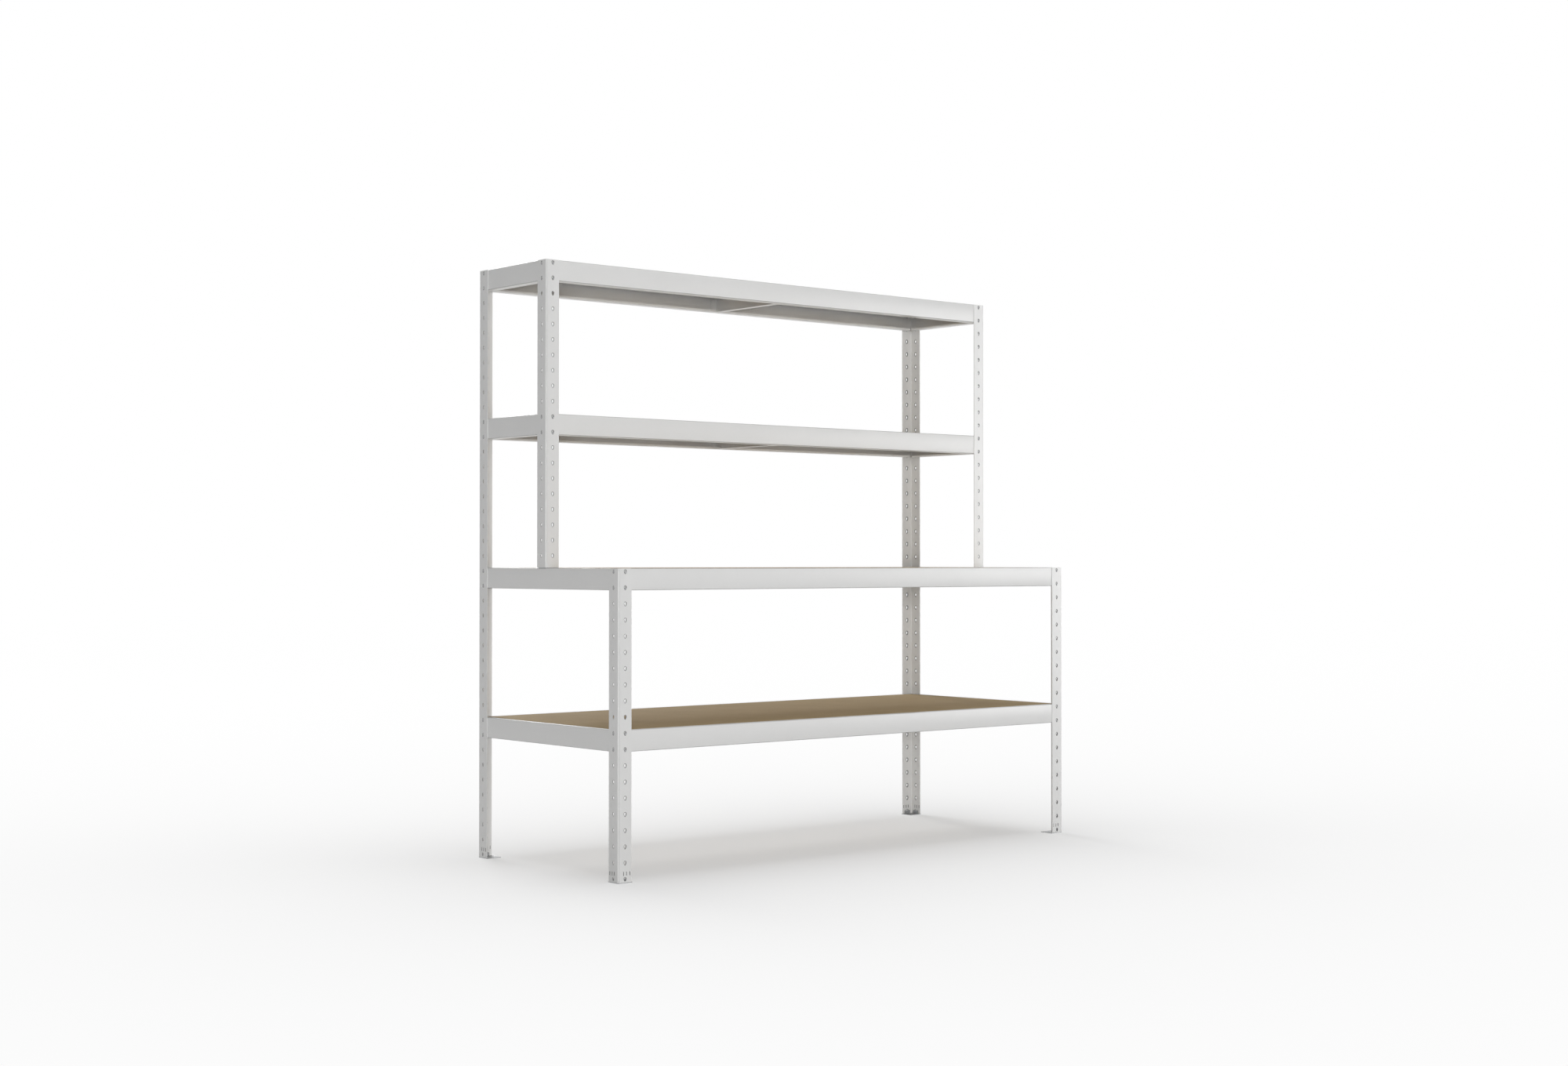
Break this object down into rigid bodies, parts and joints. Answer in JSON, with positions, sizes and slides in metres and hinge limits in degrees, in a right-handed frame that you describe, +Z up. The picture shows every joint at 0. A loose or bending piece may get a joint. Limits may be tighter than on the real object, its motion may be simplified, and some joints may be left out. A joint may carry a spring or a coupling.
{
  "type": "packing table",
  "caption": "Packing table of keyholed angle posts and folded steel beams, with a low shelf, a full-depth worktop and narrower shelves above its rear half, all laid with plain boards.",
  "frame": {"origin": "on the floor, at the middle of the plan outline", "axes": "+Z up, +X to the right seen from the front, the worktop's open front edge towards -Y"},
  "size_m": [2.0044, 0.8044, 1.972],
  "materials": {
    "paint": "light grey powder coat, satin",
    "board": "plain brown fibreboard, sanded",
    "zinc": "bright zinc plate"
  },
  "bodies": {
    "frame": {"front_post_left": "paint", "front_post_right": "paint", "rear_post_left": "paint", "rear_post_right": "paint", "upper_post_left": "paint", "upper_post_right": "paint", "lower_front_beam": "paint", "lower_rear_beam": "paint", "lower_left_beam": "paint", "lower_right_beam": "paint", "worktop_front_beam": "paint", "worktop_rear_beam": "paint", "worktop_left_beam": "paint", "worktop_right_beam": "paint", "middle_front_beam": "paint", "middle_rear_beam": "paint", "middle_left_beam": "paint", "middle_right_beam": "paint", "top_front_beam": "paint", "top_rear_beam": "paint", "top_left_beam": "paint", "top_right_beam": "paint", "lower_tie_bar": "paint", "worktop_tie_bar": "paint", "middle_tie_bar": "paint", "top_tie_bar": "paint", "worktop_deck": "board", "front_foot_left": "zinc", "front_foot_right": "zinc", "rear_foot_left": "zinc", "rear_foot_right": "zinc", "upper_foot_left": "zinc", "upper_foot_right": "zinc", "lower_rivets": "zinc", "worktop_rivets": "zinc", "middle_rivets": "zinc", "top_rivets": "zinc", "upper_foot_screws": "zinc"},
    "lower_board": {"lower_deck": "board"},
    "middle_board": {"middle_deck": "board"},
    "top_board": {"top_deck": "board"}
  },
  "joints": [
    {"name": "lower_board_lift", "type": "slide", "parent": "frame", "child": "lower_board", "axis": [0, 0, 1], "range_m": [0, 0.43]},
    {"name": "middle_board_lift", "type": "slide", "parent": "frame", "child": "middle_board", "axis": [0, 0, 1], "range_m": [0, 0.43]},
    {"name": "top_board_lift", "type": "slide", "parent": "frame", "child": "top_board", "axis": [0, 0, 1], "range_m": [0, 0.1]}
  ]
}
